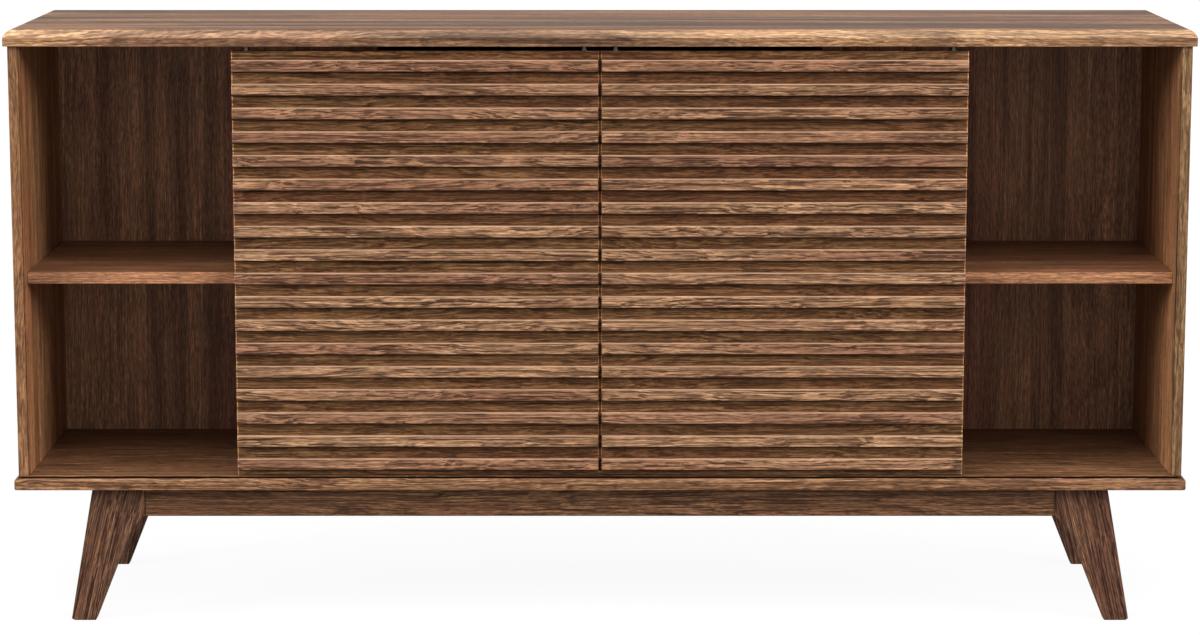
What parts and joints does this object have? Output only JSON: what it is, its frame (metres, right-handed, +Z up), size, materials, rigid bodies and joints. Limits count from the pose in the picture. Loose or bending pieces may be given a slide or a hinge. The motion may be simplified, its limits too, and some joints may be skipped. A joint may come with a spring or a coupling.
{
  "type": "sideboard buffet",
  "caption": "Long low walnut-look sideboard on splayed tapered legs, with open end bays, adjustable shelves and slatted doors that slide sideways.",
  "frame": {"origin": "middle of the footprint, on the floor under the legs", "axes": "+Z up, -Y towards the front with the doors, +X to the right as seen from the front"},
  "size_m": [1.6, 0.395, 0.815],
  "materials": {
    "walnut_top": "satin walnut-look veneer, grain along the board",
    "walnut_base": "satin walnut-look veneer, grain along the board",
    "walnut_side": "satin walnut-look veneer, upright grain",
    "walnut_back": "matt walnut-look print, upright grain",
    "walnut_shelf": "satin walnut-look veneer, grain along the shelf",
    "walnut_door": "satin walnut-look veneer, grain along the door",
    "walnut_slat": "satin walnut-look veneer, grain along the slat",
    "walnut_leg": "satin stained wood, grain along the leg",
    "track_metal": "rolled, satin",
    "hanger_steel": "zinc plated",
    "guide_plastic": "moulded brown plastic"
  },
  "bodies": {
    "carcass": {"apron_front": "walnut_base", "apron_rear": "walnut_base", "back_panel": "walnut_back", "base_board": "walnut_base", "divider_left": "walnut_side", "divider_right": "walnut_side", "door_guide_rail": "guide_plastic", "door_track": "track_metal", "leg_front_left": "walnut_leg", "leg_front_right": "walnut_leg", "leg_rear_left": "walnut_leg", "leg_rear_right": "walnut_leg", "shelf_centre": "walnut_shelf", "shelf_left": "walnut_shelf", "shelf_right": "walnut_shelf", "side_panel_left": "walnut_side", "side_panel_right": "walnut_side", "top_board": "walnut_top"},
    "door_left": {"door_left_hanger_inner": "hanger_steel", "door_left_hanger_outer": "hanger_steel", "door_left_panel": "walnut_door", "door_left_slat_01": "walnut_slat", "door_left_slat_02": "walnut_slat", "door_left_slat_03": "walnut_slat", "door_left_slat_04": "walnut_slat", "door_left_slat_05": "walnut_slat", "door_left_slat_06": "walnut_slat", "door_left_slat_07": "walnut_slat", "door_left_slat_08": "walnut_slat", "door_left_slat_09": "walnut_slat", "door_left_slat_10": "walnut_slat", "door_left_slat_11": "walnut_slat", "door_left_slat_12": "walnut_slat", "door_left_slat_13": "walnut_slat", "door_left_slat_14": "walnut_slat", "door_left_slat_15": "walnut_slat", "door_left_slat_16": "walnut_slat", "door_left_slat_17": "walnut_slat", "door_left_slat_18": "walnut_slat"},
    "door_right": {"door_right_hanger_inner": "hanger_steel", "door_right_hanger_outer": "hanger_steel", "door_right_panel": "walnut_door", "door_right_slat_01": "walnut_slat", "door_right_slat_02": "walnut_slat", "door_right_slat_03": "walnut_slat", "door_right_slat_04": "walnut_slat", "door_right_slat_05": "walnut_slat", "door_right_slat_06": "walnut_slat", "door_right_slat_07": "walnut_slat", "door_right_slat_08": "walnut_slat", "door_right_slat_09": "walnut_slat", "door_right_slat_10": "walnut_slat", "door_right_slat_11": "walnut_slat", "door_right_slat_12": "walnut_slat", "door_right_slat_13": "walnut_slat", "door_right_slat_14": "walnut_slat", "door_right_slat_15": "walnut_slat", "door_right_slat_16": "walnut_slat", "door_right_slat_17": "walnut_slat", "door_right_slat_18": "walnut_slat"}
  },
  "joints": [
    {"name": "left_door_slide", "type": "slide", "parent": "carcass", "child": "door_left", "axis": [-1, 0, 0], "range_m": [0, 0.282]},
    {"name": "right_door_slide", "type": "slide", "parent": "carcass", "child": "door_right", "axis": [1, 0, 0], "range_m": [0, 0.282]}
  ]
}
